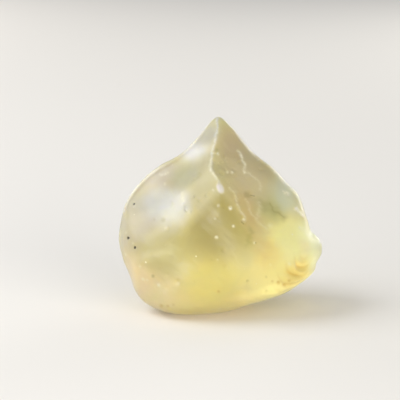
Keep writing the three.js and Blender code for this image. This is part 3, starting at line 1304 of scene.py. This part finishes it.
    def material(self) -> bpy.types.Material:
        """Builds the whole material.

        Returns:
            The new material.
        """
        material = bpy.data.materials.new(self.name)
        paint = NodePainter(material)
        where = paint.add("ShaderNodeTexCoord").outputs["Object"]
        in_mm = paint.add("ShaderNodeVectorMath", {"Vector": where, "Scale": 1 / MM}, operation="SCALE")
        place = in_mm.outputs["Vector"]
        shader = paint.add("ShaderNodeBsdfPrincipled", {
            "Base Color": self.tint(paint, place),
            "Roughness": self.frost(paint, place),
            "Normal": self.grain_normal(paint, place),
            "IOR": self.ior,
            "Transmission Weight": self.clearness,
            "Subsurface Weight": 1.0,
            "Subsurface Scale": self.scatter_scale,
            "Subsurface Radius": self.scatter_colour,
            "Subsurface Anisotropy": self.scatter_forward,
            "Sheen Weight": self.dustiness,
            "Sheen Roughness": self.dust_roughness,
        }, subsurface_method="RANDOM_WALK")
        absorb = paint.add("ShaderNodeVolumeAbsorption", {
            "Color": opaque(self.absorption), "Density": self.absorption_density,
        })
        paint.add("ShaderNodeOutputMaterial", {
            "Surface": shader.outputs["BSDF"], "Volume": absorb.outputs["Volume"],
        })
        return material


@dataclass(frozen=True)
class PaleFloor:
    """A dull floor finish of one pale tone."""

    name: str = "pale_floor"
    tone: Colour = screen_colour(230, 225, 218)
    roughness: float = 0.85
    shine: float = 0.2

    def material(self) -> bpy.types.Material:
        """Builds the floor's material.

        Returns:
            The new material.
        """
        material = bpy.data.materials.new(self.name)
        paint = NodePainter(material)
        shader = paint.add("ShaderNodeBsdfPrincipled", {
            "Base Color": opaque(self.tone), "Roughness": self.roughness, "Specular IOR Level": self.shine,
        })
        paint.add("ShaderNodeOutputMaterial", {"Surface": shader.outputs["BSDF"]})
        return material


@dataclass(frozen=True)
class SoftLight:
    """A soft studio light, wide and high in metres, that faces the stone.

    It may leave no highlights on the stone, and may be unseen through it.
    """

    name: str
    place: Vector3
    width: float
    height: float
    power: float
    colour: Colour = (1.0, 1.0, 1.0)
    highlights: bool = True
    through: bool = True

    def build(self, aim: np.ndarray) -> None:
        """Adds the light.

        Args:
            aim: The point that it faces, in metres.
        """
        lamp = bpy.data.lights.new(self.name, "AREA")
        lamp.shape = "RECTANGLE"
        lamp.size = self.width
        lamp.size_y = self.height
        lamp.energy = self.power
        lamp.color = self.colour
        light = placed(self.name, lamp)
        light.matrix_world = facing_matrix(np.array(self.place), aim)
        light.visible_glossy = self.highlights
        light.visible_transmission = self.through


def facing_matrix(place: np.ndarray, aim: np.ndarray) -> Matrix:
    """A matrix at a place whose -Z axis points at an aim and whose Y axis is as upright as it can be.

    Args:
        place: Where the object is.
        aim: What it faces.

    Returns:
        The world matrix.
    """
    back = unit(*(place - aim))
    right = unit(*np.cross((0, 0, 1), back))
    up = np.cross(back, right)
    rows = [[right[i], up[i], back[i], place[i]] for i in range(3)]
    return Matrix([*rows, [0, 0, 0, 1]])


@dataclass
class Studio:
    """The floor, the lights, the camera and the picture's tones."""

    floor_size: float = 8.0
    floor_finish: PaleFloor = PaleFloor()
    world_tone: Colour = (0.5, 0.52, 0.55)
    world_strength: float = 0.72
    camera_distance: float = 0.5
    frame_width: float = 0.0867
    sensor_width: float = 36.0
    nearest_seen: float = 0.01
    farthest_seen: float = 20.0
    aim: Vector3 = (-0.0044, 0.0, 0.0235)
    lights: tuple[SoftLight, ...] = (
        SoftLight("window_left", (-0.39, 0.0, 0.42), 0.42, 0.36, 2.2, (0.94, 0.97, 1.0)),
        SoftLight("front_right", (0.33, -0.5, 0.09), 0.5, 0.2, 4.4, (1.0, 0.99, 0.95), False, False),
        SoftLight("front_left", (-0.46, -0.4, 0.08), 0.5, 0.16, 2.65, (1.0, 0.98, 0.94), True, False),
        SoftLight("low_back_left", (-0.36, 0.42, 0.12), 0.5, 0.2, 0.9, (1.0, 0.98, 0.94)),
        SoftLight("rim_right", (0.32, 0.42, 0.12), 0.3, 0.2, 0.8, (1.0, 1.0, 0.96), True, False),
    )

    def build_floor(self) -> None:
        """A large level floor of one pale tone."""
        half = self.floor_size / 2
        corners = [(-half, -half, 0), (half, -half, 0), (half, half, 0), (-half, half, 0)]
        mesh = bpy.data.meshes.new("studio_floor")
        mesh.from_pydata(corners, [], [(0, 1, 2, 3)])
        mesh.materials.append(self.floor_finish.material())
        floor = placed("studio_floor", mesh)

    def build_camera(self) -> None:
        """A long-lens camera in front of the stone, a little above it."""
        aim = np.array(self.aim)
        angle = math.radians(SEEN_FROM_ABOVE)
        place = aim + self.camera_distance * np.array([0, -math.cos(angle), math.sin(angle)])
        lens = bpy.data.cameras.new("photo_camera")
        lens.sensor_width = self.sensor_width
        lens.lens = self.sensor_width * self.camera_distance / self.frame_width
        lens.clip_start = self.nearest_seen
        lens.clip_end = self.farthest_seen
        camera = placed("photo_camera", lens)
        camera.matrix_world = facing_matrix(place, aim)
        bpy.context.scene.camera = camera

    def build_world(self) -> None:
        """An even, dim grey surround, and plain tones."""
        scene = bpy.context.scene
        world = bpy.data.worlds.new("studio_surround")
        world.use_nodes = True
        background = world.node_tree.nodes["Background"]
        background.inputs["Color"].default_value = opaque(self.world_tone)
        background.inputs["Strength"].default_value = self.world_strength
        scene.world = world
        scene.view_settings.view_transform = "Standard"
        scene.view_settings.look = "None"
        scene.view_settings.exposure = 0.0

    def build(self) -> None:
        """Builds everything round the stone."""
        self.build_camera()
        self.build_floor()
        self.build_world()
        for light in self.lights:
            light.build(np.array(self.aim))


def main() -> None:
    """Loads the frame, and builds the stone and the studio."""
    logging.basicConfig(level=logging.INFO, format="%(name)s: %(message)s")
    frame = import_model()
    LOG.info("frame loaded with nodes %s", sorted(frame["nodes"]))
    Studio().build()
    LOG.info("studio built")
    stone = Stone(StoneForm(), StoneRelief()).build()
    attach(stone, BODY)
    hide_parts(NODE)
    LOG.info("stone built with %d faces", len(stone.data.polygons))


if __name__ == "__main__":
    main()
